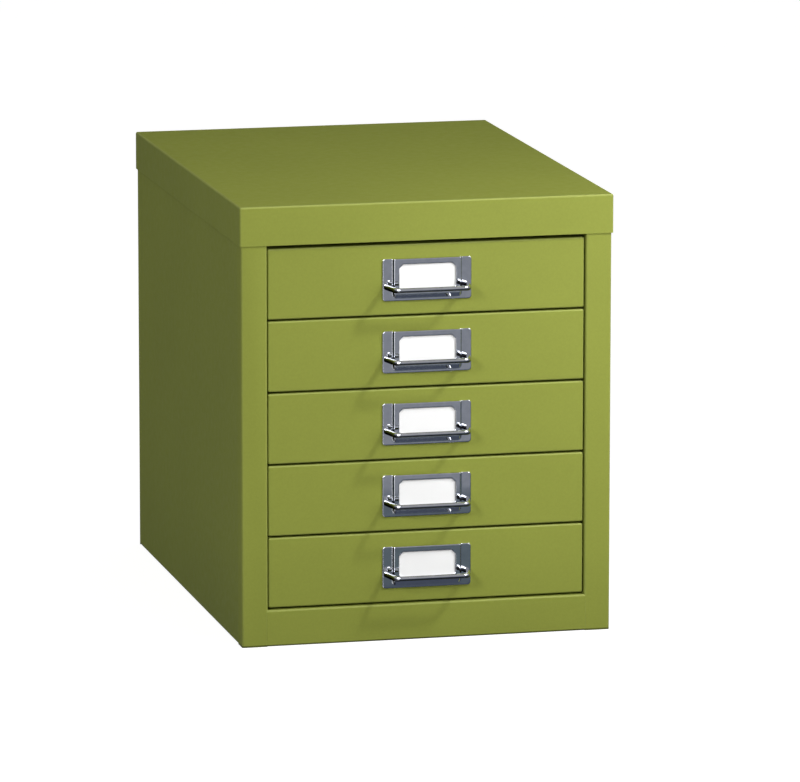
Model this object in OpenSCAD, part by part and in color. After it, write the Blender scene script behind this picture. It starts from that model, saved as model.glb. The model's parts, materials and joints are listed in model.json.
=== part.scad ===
// Small steel drawer cabinet for a desk top.
// A folded carcass with a cap lid holds five shallow drawers on channel runners,
// and each drawer has a plated card-holder pull with a wire bow.
//
// Millimetres, +Z up, front towards -Y, +X to the right of someone facing it.
// The origin is on the floor, midway between the front of the bows and the back
// of the lid. Inside the modules Y is measured back from the front of the lid.

/* [Cabinet] */
// Width across the lid
lid_w = 279; // [255:1:330]
// Depth of the lid from its front band to its back band
lid_d = 380; // [340:1:450]
// Height from the floor to the top of the lid
cabinet_h = 325; // [300:1:380]
// Height of the lid's folded band
lid_band_h = 28.7; // [22:0.1:36]
// Height of the rail under the bottom drawer
bottom_rail_h = 27; // [20:0.5:34]
// Width of the stile at each side of the drawers
stile_w = 19.2; // [15:0.1:22]
// Depth of the fold behind each stile and rail
return_d = 14; // [10:0.5:18]
// Width of the flanges at the back, top and bottom of each side
flange_w = 13; // [10:0.5:15]

/* [Sheet metal] */
// Thickness of the carcass and drawer front steel
sheet = 0.9; // [0.7:0.1:1.1]
// Thickness of the drawer tray steel
tray_sheet = 0.7; // [0.6:0.1:0.9]
// Outside radius of the carcass folds
fold_r = 1.5; // [1.3:0.1:2]
// Outside radius of the drawer folds
front_fold_r = 1.3; // [1.2:0.1:1.8]

/* [Drawers] */
// Gap between one drawer front and the next
front_gap = 1.6; // [1.2:0.1:3]
// Gap between the lid band and the top drawer
top_gap = 3; // [1.5:0.1:4]
// Gap between the bottom drawer and its rail
bottom_gap = 1.5; // [1:0.1:3]
// Gap at each side of a drawer front
side_gap = 0.9; // [0.7:0.1:2.5]
// How far the drawer fronts stand back from the stiles
front_setback = 2; // [0:0.1:3]
// Depth of a drawer front's folded edges
front_pan_d = 12; // [8:0.5:16]
// How far a tray's rim stands below the top of its front
rim_drop = 4.7; // [4:0.1:8]
// Width of the rim folded out along each side of a tray
rim_w = 8; // [6:0.5:12]
// Height of the lip folded down from the rim
rim_lip_h = 4; // [3:0.1:6]
// Width of the flanges that join a tray to its front and its back wall
tray_flange_w = 6.5; // [5:0.5:6.5]
// How far a drawer slides out to its stops
drawer_travel = 275; // [200:5:290]

/* [Runners] */
// Gap between a tray's lip and the ledge that it slides on
slide_gap = 0.3; // [0.2:0.1:0.5]
// Gap between a tray's rim and the guard lip above it
guard_gap = 1; // [0.5:0.1:1.5]
// Gap between a runner's ledge and the side of the tray
ledge_gap = 1.2; // [0.6:0.1:2]
// Gap between a runner's web and the fold of the stile
web_gap = 1.4; // [1:0.1:2]
// Width of the tabs that fix a runner at its front and back
runner_tab_w = 11; // [8:0.5:12]

/* [Card holder and bow] */
// Width of the plate
plate_w = 66.3; // [60:0.1:72]
// Height of the plate
plate_h = 31; // [28:0.1:34]
// Thickness of the plate
plate_t = 0.8; // [0.6:0.1:1]
// Corner radius of the plate
plate_corner_r = 2.2; // [1:0.1:4]
// Width across the raised centre at its foot
holder_w = 52.2; // [50:0.1:56]
// How far the centre stands out in front of the wings
holder_rise = 2; // [1.6:0.1:2.6]
// Run of the pressed slope at each side of the centre
side_slope = 1.4; // [1:0.1:2]
// Run of the pressed slope along the bottom of the centre
bottom_slope = 3.2; // [2:0.1:4]
// Flat margin of the plate below the centre
bottom_margin = 1.9; // [1.5:0.1:3]
// Width of the window
window_w = 42.4; // [36:0.1:46]
// Height of the window
window_h = 18.8; // [14:0.1:19]
// Distance from the top of the plate to the window
window_drop = 3.9; // [3:0.1:5]
// Chamfer at the window's top corners
window_top_chamfer = 3; // [1:0.1:5]
// Chamfer at the window's bottom corners
window_bottom_chamfer = 1.8; // [1:0.1:3]
// Diameter of the bow's wire
wire_d = 3.5; // [3:0.1:4]
// How far the wire's centre stands out from the plate
bow_reach = 17.5; // [14:0.5:24]
// Distance between the feet of the bow
bow_foot_w = 61.2; // [58:0.1:62]
// Distance between the arms where they meet the bar
bow_bar_w = 54; // [48:0.5:58]
// Bend radius at the middle of the wire
bow_bend_r = 4.5; // [3.5:0.1:6]
// How far the bow stands below the middle of the plate
bow_drop = 5; // [3:0.1:7]
// Diameter of the pegs at the feet of the bow
peg_d = 2.6; // [2:0.1:2.8]
// Diameter of the push-on clips behind the drawer front
clip_d = 8; // [6:0.5:10]
// Thickness of the clips
clip_t = 0.6; // [0.4:0.1:0.8]
// Thickness of the label card
card_t = 0.4; // [0.3:0.1:0.5]

/* [Hidden] */
drawer_count = 5;
eps = 0.01;        // overlap that makes a join certain
arm_lap = 0.2;     // how far an arm of the bow runs inside its bend
arm_step = 0.02;   // how much thinner than the bend it is there, in radius
$fn = 48;

// Clearances
lid_gap = 0.2;     // between the lid's band and the carcass
rim_gap = 1.2;     // between a tray's rim and the fold of the stile
stop_gap = 0.3;    // between a stop ear and the fold that stops it
back_gap = 0.5;    // between a shut tray and the back panel
rail_up = 1.5;     // top rail above the bottom edge of the lid's band
peg_gap = 0.1;     // round a peg in its hole
clip_gap = 0.05;   // round a peg in its clip
card_gap = 0.15;   // between the card and the holder
card_drop = 0.5;   // top of the card below the top of the plate
ear_gap = 0.4;     // between a stop ear and the runner's web
peg_stub = 0.8;    // end of a peg behind its clip
notch_gap = 0.3;   // between the fold of a stile and a runner's ledge

// Carcass
body_half_w = lid_w / 2 - sheet - lid_gap;
body_front = sheet + lid_gap;
body_back = lid_d - sheet - lid_gap;
body_top = cabinet_h - sheet;
lid_bottom = cabinet_h - lid_band_h;
opening_half_w = body_half_w - stile_w;
return_back = body_front + return_d;
back_panel_front = body_back - 2 * sheet;

// Drawer fronts
front_w = 2 * (opening_half_w - side_gap);
front_total_h = lid_bottom - top_gap - bottom_rail_h - bottom_gap;
front_h = (front_total_h - (drawer_count - 1) * front_gap) / drawer_count;
front_face = body_front + front_setback;
function front_bottom(n) =
    bottom_rail_h + bottom_gap + (drawer_count - n) * (front_h + front_gap);

// Drawer trays
tray_front = front_face + sheet;
tray_back = back_panel_front - back_gap;
floor_bottom = sheet;
floor_top = floor_bottom + tray_sheet;
rim_half_w = opening_half_w - rim_gap;
tray_half_w = rim_half_w - rim_w;
rim_top = front_h - rim_drop;
rim_front = max(front_face + front_pan_d, return_back) + notch_gap;
ear_front = return_back + stop_gap + drawer_travel;
ear_l = 8;         // length of a stop ear along the rim

// Runners
web_in = opening_half_w + sheet + web_gap;
ledge_in = tray_half_w + ledge_gap;
ledge_top = rim_top - rim_lip_h - slide_gap;
guard_bottom = rim_top + guard_gap;
runner_front = body_front + sheet;

// Card holder and bow, measured from the middle of a drawer front's face
holder_foot_half = holder_w / 2;
holder_top_half = holder_foot_half - side_slope;
holder_bottom = -plate_h / 2 + bottom_margin;
window_top = plate_h / 2 - window_drop;
bow_z = -bow_drop;
wire_r = wire_d / 2;
peg_r = peg_d / 2;
foot_x = bow_foot_w / 2;
bar_y = -(plate_t + bow_reach);
arm_lean = atan((bow_foot_w - bow_bar_w) / 2 / bow_reach);
bend_angle = 90 - arm_lean;
bend_x = bow_bar_w / 2 - bow_bend_r * tan(bend_angle / 2);
arm_l = bow_reach / cos(arm_lean) - bow_bend_r * tan(bend_angle / 2);
peg_end = sheet + clip_t + peg_stub;

// Whole cabinet
bow_front = bar_y - wire_r + front_face;
origin_y = (bow_front + lid_d) / 2;

function numbered(name) = [for (n = [1 : drawer_count]) str(name, "_", n)];

paint = "#96A048";
plated = "#8C8F9C";
zinc = "#B5B7BA";
card_white = "#F7F7F4";

// ---------------------------------------------------------------- helpers

// Puts the front of the lid at its place in front of the origin
module placed() translate([0, -origin_y, 0]) children();

// Both sides of the cabinet
module both_sides() {
    children();
    mirror([1, 0, 0]) children();
}

// The middle of drawer n's front face
module at_handle(n)
    placed() translate([0, front_face, front_bottom(n) + front_h / 2]) children();

function unit(v) = v / norm(v);
function left_of(v) = [-v.y, v.x];

// Section of a folded sheet whose middle line follows right-angled points
module folded_section(points, t, outside_r) {
    mid_r = outside_r - t / 2;
    last = len(points) - 1;
    for (i = [0 : last - 1]) {
        along = unit(points[i + 1] - points[i]);
        start = points[i] + (i > 0 ? mid_r : 0) * along;
        end = points[i + 1] - (i < last - 1 ? mid_r : 0) * along;
        side = left_of(along) * t / 2;
        polygon([start + side, start - side, end - side, end + side]);
    }
    for (i = [1 : last - 1]) {
        into = unit(points[i] - points[i - 1]);
        away = unit(points[i + 1] - points[i]);
        centre = points[i] + mid_r * (away - into);
        reach = 2 * outside_r;
        intersection() {
            translate(centre) difference() {
                circle(outside_r);
                circle(outside_r - t);
            }
            polygon([centre, centre + reach * into,
                     centre + reach * (into - away), centre - reach * away]);
        }
    }
}

module rounded_rect(w, h, r) {
    square([w - 2 * r, h], center = true);
    square([w, h - 2 * r], center = true);
    for (x = [-1, 1], y = [-1, 1])
        translate([x * (w / 2 - r), y * (h / 2 - r)]) circle(r);
}

// Outline from 0 to h in height, with only its top corners rounded
module arched_rect(w, h, r) {
    translate([-w / 2, 0]) square([w, h - r]);
    translate([-w / 2 + r, 0]) square([w - 2 * r, h]);
    for (x = [-1, 1]) translate([x * (w / 2 - r), h - r]) circle(r);
}

// Block with rounded top edges and rounded upright corners
module rounded_block(w, d, h, r)
    intersection() {
        linear_extrude(h) rounded_rect(w, d, r);
        translate([0, d / 2, 0]) rotate([90, 0, 0]) linear_extrude(d) arched_rect(w, h, r);
        translate([-w / 2, 0, 0]) rotate([90, 0, 90]) linear_extrude(w) arched_rect(d, h, r);
    }

// Shallow box folded from sheet, open at the bottom
module folded_pan(w, d, h, t, r)
    difference() {
        rounded_block(w, d, h, r);
        translate([0, 0, -t]) rounded_block(w - 2 * t, d - 2 * t, h, r - t);
    }

// ---------------------------------------------------------------- carcass

module lid()
    color(paint) placed()
        translate([0, lid_d / 2, lid_bottom])
            folded_pan(lid_w, lid_d, lid_band_h, sheet, fold_r);

// Right side: a wall with a stile folded in front and a flange folded behind
module side_panel() {
    wall_x = body_half_w - sheet / 2;
    stile_y = body_front + sheet / 2;
    fold_x = opening_half_w + sheet / 2;
    rear_y = body_back - sheet / 2;
    linear_extrude(body_top)
        folded_section([[fold_x, return_back], [fold_x, stile_y], [wall_x, stile_y],
                        [wall_x, rear_y], [body_half_w - flange_w, rear_y]],
                       sheet, fold_r);
    for (z = [0, body_top - sheet])
        translate([body_half_w - flange_w, return_back + notch_gap, z])
            cube([flange_w - sheet / 2, back_panel_front - return_back - 2 * notch_gap, sheet]);
}

module right_side_panel() color(paint) placed() side_panel();

module left_side_panel() color(paint) placed() mirror([1, 0, 0]) side_panel();

module back_panel()
    color(paint) placed() {
        half_w = body_half_w - fold_r;
        translate([-half_w, body_back - 2 * sheet, 0])
            cube([2 * half_w, sheet, body_top]);
    }

// Floor with an upturned edge along each side, on the bottom flanges
module base_panel()
    color(paint) placed() {
        edge_x = body_half_w - 1.5 * sheet;
        front = return_back + notch_gap;
        translate([0, back_panel_front, sheet]) rotate([90, 0, 0])
            linear_extrude(back_panel_front - front)
                folded_section([[-edge_x, flange_w], [-edge_x, sheet / 2],
                                [edge_x, sheet / 2], [edge_x, flange_w]], sheet, fold_r);
    }

// Rail between the stiles, with a fold along its top and its bottom
module cross_rail(bottom, top, bottom_fold)
    translate([-opening_half_w, 0, 0]) rotate([90, 0, 90])
        linear_extrude(2 * opening_half_w)
            folded_section([[body_front + bottom_fold, bottom + sheet / 2],
                            [body_front + sheet / 2, bottom + sheet / 2],
                            [body_front + sheet / 2, top - sheet / 2],
                            [return_back, top - sheet / 2]], sheet, fold_r);

// Its lower fold is long enough to carry the front edge of the base
module bottom_rail()
    color(paint) placed() cross_rail(0, bottom_rail_h, return_d + flange_w / 2);

module top_rail()
    color(paint) placed() cross_rail(lid_bottom + rail_up, body_top, return_d);

// Channel that carries the right-hand rim of drawer n
module runner(n) {
    web_mid = web_in + sheet / 2;
    bottom = ledge_top - sheet;
    top = guard_bottom + sheet;
    ledge_front = return_back + notch_gap;
    translate([0, 0, front_bottom(n)]) {
        translate([0, back_panel_front, 0]) rotate([90, 0, 0])
            linear_extrude(back_panel_front - ledge_front)
                folded_section([[ledge_in, ledge_top - sheet / 2], [web_mid, ledge_top - sheet / 2],
                                [web_mid, guard_bottom + sheet / 2],
                                [ledge_in, guard_bottom + sheet / 2]], sheet, fold_r);
        translate([web_in, runner_front, bottom + fold_r])
            cube([sheet, ledge_front - runner_front + eps, top - bottom - 2 * fold_r]);
        for (y = [runner_front, back_panel_front - sheet])
            translate([web_in, y, bottom + fold_r])
                cube([runner_tab_w, sheet, top - bottom - 2 * fold_r]);
    }
}

module right_runner(n) color(paint) placed() runner(n);

module left_runner(n) color(paint) placed() mirror([1, 0, 0]) runner(n);

// ---------------------------------------------------------------- drawers

// Holes for the two pegs of a bow, through the plate and the drawer front
module peg_holes(n)
    at_handle(n)
        for (x = [-1, 1])
            translate([x * foot_x, peg_end, bow_z]) rotate([90, 0, 0])
                cylinder(h = peg_end + plate_t + 1, r = peg_r + peg_gap);

module drawer_front(n)
    color(paint) difference() {
        placed() translate([0, front_face + front_pan_d, front_bottom(n) + front_h / 2])
            rotate([90, 0, 0]) folded_pan(front_w, front_h, front_pan_d, sheet, front_fold_r);
        peg_holes(n);
    }

// End view of a tray, with or without the rims that slide in the runners
module tray_section(with_rim) {
    side_x = tray_half_w - tray_sheet / 2;
    floor_z = floor_bottom + tray_sheet / 2;
    rim_z = rim_top - tray_sheet / 2;
    lip_x = rim_half_w - tray_sheet / 2;
    lip_z = rim_top - rim_lip_h;
    walls = [[-side_x, rim_z], [-side_x, floor_z], [side_x, floor_z], [side_x, rim_z]];
    left_rim = [[-lip_x, lip_z], [-lip_x, rim_z]];
    right_rim = [[lip_x, rim_z], [lip_x, lip_z]];
    folded_section(with_rim ? concat(left_rim, walls, right_rim) : walls,
                   tray_sheet, front_fold_r);
}

// Floor and sides in one sheet. The floor lies on the lower fold of the front,
// a flange on each side lies on the back of its face, and an ear on each rim
// meets the fold of the stile when the drawer is fully out.
module drawer_tray(n)
    color(paint) placed() translate([0, 0, front_bottom(n)]) {
        translate([0, rim_front, 0]) rotate([90, 0, 0])
            linear_extrude(rim_front - tray_front) tray_section(false);
        translate([0, tray_back, 0]) rotate([90, 0, 0])
            linear_extrude(tray_back - rim_front) tray_section(true);
        both_sides() {
            translate([tray_half_w - tray_sheet, tray_front, floor_bottom + front_fold_r])
                cube([tray_flange_w + tray_sheet, tray_sheet,
                      rim_top - floor_bottom - 2 * front_fold_r]);
            translate([rim_half_w - front_fold_r, ear_front, rim_top - tray_sheet])
                cube([web_in - ear_gap - rim_half_w + front_fold_r, ear_l, tray_sheet]);
        }
    }

// Back wall that stands between the sides, on a flange along the floor
module drawer_back(n)
    color(paint) placed() {
        half_w = tray_half_w - tray_sheet;
        wall_y = tray_back - tray_sheet / 2;
        translate([-half_w, 0, front_bottom(n)]) rotate([90, 0, 90])
            linear_extrude(2 * half_w)
                folded_section([[tray_back - tray_flange_w, floor_top + tray_sheet / 2],
                                [wall_y, floor_top + tray_sheet / 2], [wall_y, rim_top]],
                               tray_sheet, front_fold_r);
    }

// ---------------------------------------------------------------- pulls

// The raised centre as a solid whose back lies at y = 0, open upwards
module holder_block(rise_from)
    intersection() {
        translate([0, 0, -plate_h]) linear_extrude(2 * plate_h)
            polygon([[-holder_foot_half, 1], [-holder_foot_half, -rise_from],
                     [-holder_top_half, -rise_from - holder_rise],
                     [holder_top_half, -rise_from - holder_rise],
                     [holder_foot_half, -rise_from], [holder_foot_half, 1]]);
        translate([-plate_w, 0, 0]) rotate([90, 0, 90]) linear_extrude(2 * plate_w)
            polygon([[1, holder_bottom], [-rise_from, holder_bottom],
                     [-rise_from - holder_rise, holder_bottom + bottom_slope],
                     [-rise_from - holder_rise, plate_h], [1, plate_h]]);
    }

module window_outline() {
    half = window_w / 2;
    low = window_top - window_h;
    polygon([[-half, low + window_bottom_chamfer], [-half + window_bottom_chamfer, low],
             [half - window_bottom_chamfer, low], [half, low + window_bottom_chamfer],
             [half, window_top - window_top_chamfer], [half - window_top_chamfer, window_top],
             [-half + window_top_chamfer, window_top], [-half, window_top - window_top_chamfer]]);
}

module handle_plate(n)
    color(plated) difference() {
        at_handle(n) difference() {
            union() {
                rotate([90, 0, 0]) linear_extrude(plate_t)
                    rounded_rect(plate_w, plate_h, plate_corner_r);
                intersection() {
                    holder_block(plate_t);
                    translate([-plate_w / 2, -plate_t - holder_rise, -plate_h / 2])
                        cube([plate_w, plate_t + holder_rise, plate_h]);
                }
            }
            holder_block(0);
            translate([0, 1, 0]) rotate([90, 0, 0])
                linear_extrude(plate_t + holder_rise + 2) window_outline();
        }
        peg_holes(n);
    }

// Right half of the bow: peg, leaning arm, bend and half of the bar
module bow_half() {
    translate([foot_x, peg_end, bow_z]) rotate([90, 0, 0])
        cylinder(h = peg_end + plate_t + wire_r / 2, r = peg_r);
    intersection() {
        translate([foot_x, -plate_t, bow_z]) rotate([0, 0, -arm_lean]) rotate([90, 0, 0])
            translate([0, 0, -wire_r])
                cylinder(h = wire_r + arm_l + arm_lap, r = wire_r - arm_step);
        translate([0, -plate_t - 2 * bow_reach, bow_z - wire_d])
            cube([plate_w, 2 * bow_reach, 2 * wire_d]);
    }
    translate([bend_x, bar_y + bow_bend_r, bow_z]) rotate([0, 0, -90])
        rotate_extrude(angle = bend_angle) translate([bow_bend_r, 0]) circle(wire_r);
    translate([0, bar_y, bow_z]) rotate([0, 90, 0]) cylinder(h = bend_x, r = wire_r);
}

module handle_bow(n) color(plated) at_handle(n) both_sides() bow_half();

// Two push-on washers that hold the bow's pegs behind the drawer front
module bow_clips(n)
    color(zinc) at_handle(n)
        for (x = [-1, 1])
            translate([x * foot_x, sheet + clip_t, bow_z]) rotate([90, 0, 0])
                difference() {
                    cylinder(h = clip_t, r = clip_d / 2);
                    translate([0, 0, -clip_t]) cylinder(h = 3 * clip_t, r = peg_r + clip_gap);
                }

module label_card(n)
    color(card_white) at_handle(n) {
        half_w = holder_top_half - card_gap;
        bottom = holder_bottom + bottom_slope + card_gap;
        translate([-half_w, -holder_rise + card_gap, bottom])
            cube([2 * half_w, card_t, plate_h / 2 - card_drop - bottom]);
    }

// ---------------------------------------------------------------- assembly

lid();
left_side_panel();
right_side_panel();
back_panel();
base_panel();
bottom_rail();
top_rail();
for (n = [1 : drawer_count]) {
    left_runner(n);
    right_runner(n);
    drawer_front(n);
    drawer_tray(n);
    drawer_back(n);
    handle_plate(n);
    handle_bow(n);
    bow_clips(n);
    label_card(n);
}
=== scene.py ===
"""Small steel drawer cabinet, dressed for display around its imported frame.

A powder coated carcass of folded sheet carries a cap lid and five shallow drawers on
channel runners. Each drawer has a bright plated card holder with a wire bow.
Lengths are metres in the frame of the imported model: +Z up, drawer fronts towards -Y,
and +X to the right of someone who faces the drawers.
"""

import json
import logging
import math
from dataclasses import dataclass, field
from enum import Enum
from typing import Sequence

import bmesh
import bpy
from bpy.types import Material, Mesh, NodeOutputs, NodeSocket, NodeTree, Object
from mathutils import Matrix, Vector


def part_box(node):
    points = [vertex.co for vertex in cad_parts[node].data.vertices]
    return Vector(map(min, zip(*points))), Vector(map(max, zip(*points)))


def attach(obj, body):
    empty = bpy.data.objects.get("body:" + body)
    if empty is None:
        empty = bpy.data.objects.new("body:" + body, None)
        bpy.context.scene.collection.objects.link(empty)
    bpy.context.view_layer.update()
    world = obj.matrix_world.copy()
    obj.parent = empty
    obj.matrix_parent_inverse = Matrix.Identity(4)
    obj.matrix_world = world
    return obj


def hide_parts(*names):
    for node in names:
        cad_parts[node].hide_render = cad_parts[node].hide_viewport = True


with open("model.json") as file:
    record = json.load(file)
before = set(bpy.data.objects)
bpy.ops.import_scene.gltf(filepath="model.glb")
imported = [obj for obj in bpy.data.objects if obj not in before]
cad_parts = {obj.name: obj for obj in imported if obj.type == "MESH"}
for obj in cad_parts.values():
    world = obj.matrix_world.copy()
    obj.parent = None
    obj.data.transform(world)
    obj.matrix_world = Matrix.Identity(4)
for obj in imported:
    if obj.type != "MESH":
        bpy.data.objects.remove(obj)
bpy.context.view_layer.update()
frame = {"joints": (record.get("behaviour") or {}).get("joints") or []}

MM = 0.001
RIGHTWARDS, BACKWARDS, UP = Vector((1, 0, 0)), Vector((0, 1, 0)), Vector((0, 0, 1))

BEND_STEPS = 6
STILL_STRAIGHT = 0.5                  # cosine above which a corner isn't a fold
FOLD_SHARE = 0.75                     # share of one bend step that marks a fold
SAME_POINT = 1e-6
SHARP_ANGLE = math.radians(50)
CUT_ANGLE = math.radians(60)
CUT_SEGMENTS = 2
CUT_EDGE = 0.12 * MM
RIM_SAMPLES = 8
MIX_LOW, MIX_HIGH, MIX_RESULT = 6, 7, 2    # a mix node's sockets for colours

log = logging.getLogger("cabinet")

Flat = tuple[float, float]
Colour = tuple[float, float, float]
Value = float | Sequence[float] | NodeSocket


# ------------------------------------------------------------------ named options


class Slot(Enum):
    """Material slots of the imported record."""

    GREEN_PAINT = "green_paint"
    CHROME = "chrome_plating"
    ZINC = "zinc_clip"
    CARD = "white_card"


class Hand(Enum):
    """Side of the cabinet, as the sign of its X."""

    LEFT = -1
    RIGHT = 1

    @property
    def word(self) -> str:
        """The side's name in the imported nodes."""
        return self.name.lower()


class Along(Enum):
    """Direction in which a folded section is drawn out, as the number of its axis."""

    X = 0
    Y = 1
    Z = 2

    def place(self, flat: Flat, reach: float) -> Vector:
        """Point in the frame for one of the section's own plane, at a reach along this."""
        return Vector((*flat[:self.value], reach, *flat[self.value:]))


class Corner(Enum):
    """How a corner of a pressed outline is shaped."""

    ROUND = "round"
    CHAMFER = "chamfer"
    STRAIGHT = "straight"


# ------------------------------------------------------------------ finishes


class Wiring:
    """Short calls that wire any node tree."""

    def __init__(self, tree: NodeTree) -> None:
        """Empties the tree and takes it over."""
        self.nodes, self.links = tree.nodes, tree.links
        self.nodes.clear()

    def add(self, kind: str, inputs: dict[str | int, Value],
            **settings: str | int) -> NodeOutputs:
        """Adds a node.

        Args:
            kind: Its type, without the word that all these types start with.
            inputs: What each input is set to, or the socket that feeds it.
            settings: Its other settings.

        Returns:
            Its outputs.
        """
        node = self.nodes.new(f"ShaderNode{kind}")
        for name, value in settings.items():
            setattr(node, name, value)
        for name, value in inputs.items():
            if isinstance(value, NodeSocket):
                self.links.new(value, node.inputs[name])
            else:
                node.inputs[name].default_value = value
        return node.outputs

    def span(self, value: NodeSocket, low: Value, high: Value,
             start: float = 0.3, end: float = 0.7) -> NodeSocket:
        """Spreads a number between start and end, usually a noise, from low to high."""
        return self.add("MapRange", {"Value": value, "From Min": start, "From Max": end,
                                     "To Min": low, "To Max": high})["Result"]

    def combine(self, kind: str, *numbers: Value) -> NodeSocket:
        """Adds, multiplies or otherwise joins numbers from the first to the last.

        Args:
            kind: Name of the math node's operation.
            numbers: The numbers.

        Returns:
            The joined number.
        """
        total = numbers[0]
        for number in numbers[1:]:
            total = self.add("Math", {0: total, 1: number}, operation=kind)["Value"]
        return total

    def tint(self, share: NodeSocket, low: Value, high: Value) -> NodeSocket:
        """Goes from one colour to another by any share, both given with their alpha."""
        return self.add("Mix", {0: share, MIX_LOW: low, MIX_HIGH: high},
                        data_type="RGBA", clamp_factor=False)[MIX_RESULT]

    def facing(self, direction: NodeSocket, toward: Colour, low: Value, high: Value,
               start: float, end: float) -> NodeSocket:
        """Spreads how far a direction points toward another, -1 to 1, from low to high.

        Args:
            direction: The direction.
            toward: The other direction, of any length.
            low: What start gives.
            high: What end gives.
            start: Where the spread starts.
            end: Where it ends.

        Returns:
            The spread number.
        """
        along = self.add("VectorMath", {0: Vector(toward).normalized(), 1: direction},
                         operation="DOT_PRODUCT")
        return self.span(along["Value"], low, high, start, end)

    def axes(self, vector: NodeSocket) -> NodeOutputs:
        """Splits a vector into its X, Y and Z."""
        return self.add("SeparateXYZ", {"Vector": vector})

    def rays(self, *kinds: str) -> NodeSocket:
        """1 for rays of any of the light path node's given kinds, and 0 for the rest."""
        path = self.add("LightPath", {})
        return self.combine("MAXIMUM", *(path[kind] for kind in kinds))


class NodeGraph(Wiring):
    """Short calls that build one procedural material."""

    def __init__(self, name: str) -> None:
        """Starts a material with the piece's own coordinates.

        Args:
            name: Name of the material.
        """
        self.material = bpy.data.materials.new(name)
        self.material.use_nodes = True
        super().__init__(self.material.node_tree)
        self.place = self.add("TexCoord", {})["Object"]

    def noise(self, size: float, detail: float = 2.0,
              stretch: Colour = (1.0, 1.0, 1.0)) -> NodeSocket:
        """Adds a noise whose features have a real size.

        Args:
            size: Size of a feature.
            detail: How many finer layers it has.
            stretch: How many times longer a feature is along each axis.

        Returns:
            The noise, from 0 to 1.
        """
        place = self.add("Mapping", {"Vector": self.place,
                                     "Scale": [1 / (size * along) for along in stretch]})
        return self.add("TexNoise", {"Vector": place["Vector"], "Scale": 1.0,
                                     "Detail": detail})["Fac"]

    def mottle(self, spread: float, size: float, detail: float = 2.0) -> NodeSocket:
        """A factor that wanders by the spread on both sides of 1, as the noise does."""
        return self.span(self.noise(size, detail), 1 - spread, 1 + spread)

    def scaled(self, colour: Value, factor: NodeSocket) -> NodeSocket:
        """Multiplies a colour by a factor."""
        return self.add("VectorMath", {0: colour, "Scale": factor}, operation="SCALE")["Vector"]

    def relief(self, height: NodeSocket, depth: float,
               under: NodeSocket | None = None) -> NodeSocket:
        """Bends the surface's direction by a bump.

        Args:
            height: Where the bump is high, from 0 to 1.
            depth: Its real depth.
            under: The direction that it bends, or nothing for the surface's own.

        Returns:
            The bent direction.
        """
        base = {} if under is None else {"Normal": under}
        return self.add("Bump", {"Strength": 1.0, "Distance": depth, "Height": height,
                                 **base})["Normal"]

    def finished(self, inputs: dict[str, Value]) -> Material:
        """Adds the shader with its inputs and hands over the material."""
        self.add("OutputMaterial", {"Surface": self.add("BsdfPrincipled", inputs)["BSDF"]})
        return self.material


@dataclass(frozen=True)
class PowderCoat:
    """Semi-gloss powder coat with a fine orange peel and a painted highlight on its folds,
    strongest where they face up.

    Painted shade darkens it a little towards the floor, and a painted contact shadow darkens its
    lowest edge.
    """

    slot: Slot = Slot.GREEN_PAINT
    colour: Colour = (0.276, 0.312, 0.056)
    tone_size: float = 90 * MM
    tone_spread: float = 0.022
    speck_size: float = 1.6 * MM
    speck_spread: float = 0.025
    # painted highlight colour for the folds, brighter on folds that face up
    fold_highlight: Colour = (0.355, 0.396, 0.112)
    highlight_break_size: float = 4 * MM
    highlight_least: float = 0.7
    side_highlight: float = 0.3
    highlight_slants: Flat = (0.15, 0.75)
    # painted contact shadow along the lowest edge of every piece
    contact_shadow_heights: Flat = (1.2 * MM, 1.5 * MM)
    painted_contact_shadow: float = 0.4
    # painted shade that darkens the coat a little towards the floor
    floor_shade_height: float = 75 * MM
    painted_floor_shade: float = 0.91
    gloss_size: float = 6 * MM
    roughness: Flat = (0.42, 0.50)
    specular: float = 0.10
    peel_size: float = 1.1 * MM
    peel_depth: float = 0.006 * MM
    grain_size: float = 0.35 * MM
    grain_depth: float = 0.003 * MM

    def build(self) -> Material:
        """Builds the coat's material.

        Returns:
            The material.
        """
        graph = NodeGraph("green_powder_coat")
        normal = graph.add("NewGeometry", {})["Normal"]
        # painted highlight on the folds, strongest where they face up, broken up by a noise
        highlight_share = graph.combine(
            "MULTIPLY", graph.add("Attribute", {}, attribute_name="fold")["Fac"],
            graph.span(graph.noise(self.highlight_break_size), self.highlight_least, 1.0),
            graph.facing(normal, UP, self.side_highlight, 1.0, *self.highlight_slants))
        height = graph.axes(graph.place)["Z"]
        shade = graph.combine(
            "MULTIPLY", graph.mottle(self.tone_spread, self.tone_size, detail=3.0),
            graph.mottle(self.speck_spread, self.speck_size),
            # painted contact shadow along the lowest edge
            graph.span(height, self.painted_contact_shadow, 1.0, *self.contact_shadow_heights),
            # painted shade towards the floor
            graph.span(height, self.painted_floor_shade, 1.0, 0.0, self.floor_shade_height))
        colour = graph.tint(highlight_share, (*self.colour, 1.0), (*self.fold_highlight, 1.0))
        peel = graph.relief(graph.noise(self.peel_size), self.peel_depth)
        return graph.finished({
            "Base Color": graph.scaled(colour, shade),
            "Roughness": graph.span(graph.noise(self.gloss_size, detail=4.0), *self.roughness),
            "Specular IOR Level": self.specular,
            "Normal": graph.relief(graph.noise(self.grain_size), self.grain_depth, peel)})


@dataclass(frozen=True)
class PaintedShadeSide:
    """A side that painted shade darkens, in colour and in reflection."""

    away_from: Colour
    start: float
    end: float
    left_over: float


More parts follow.
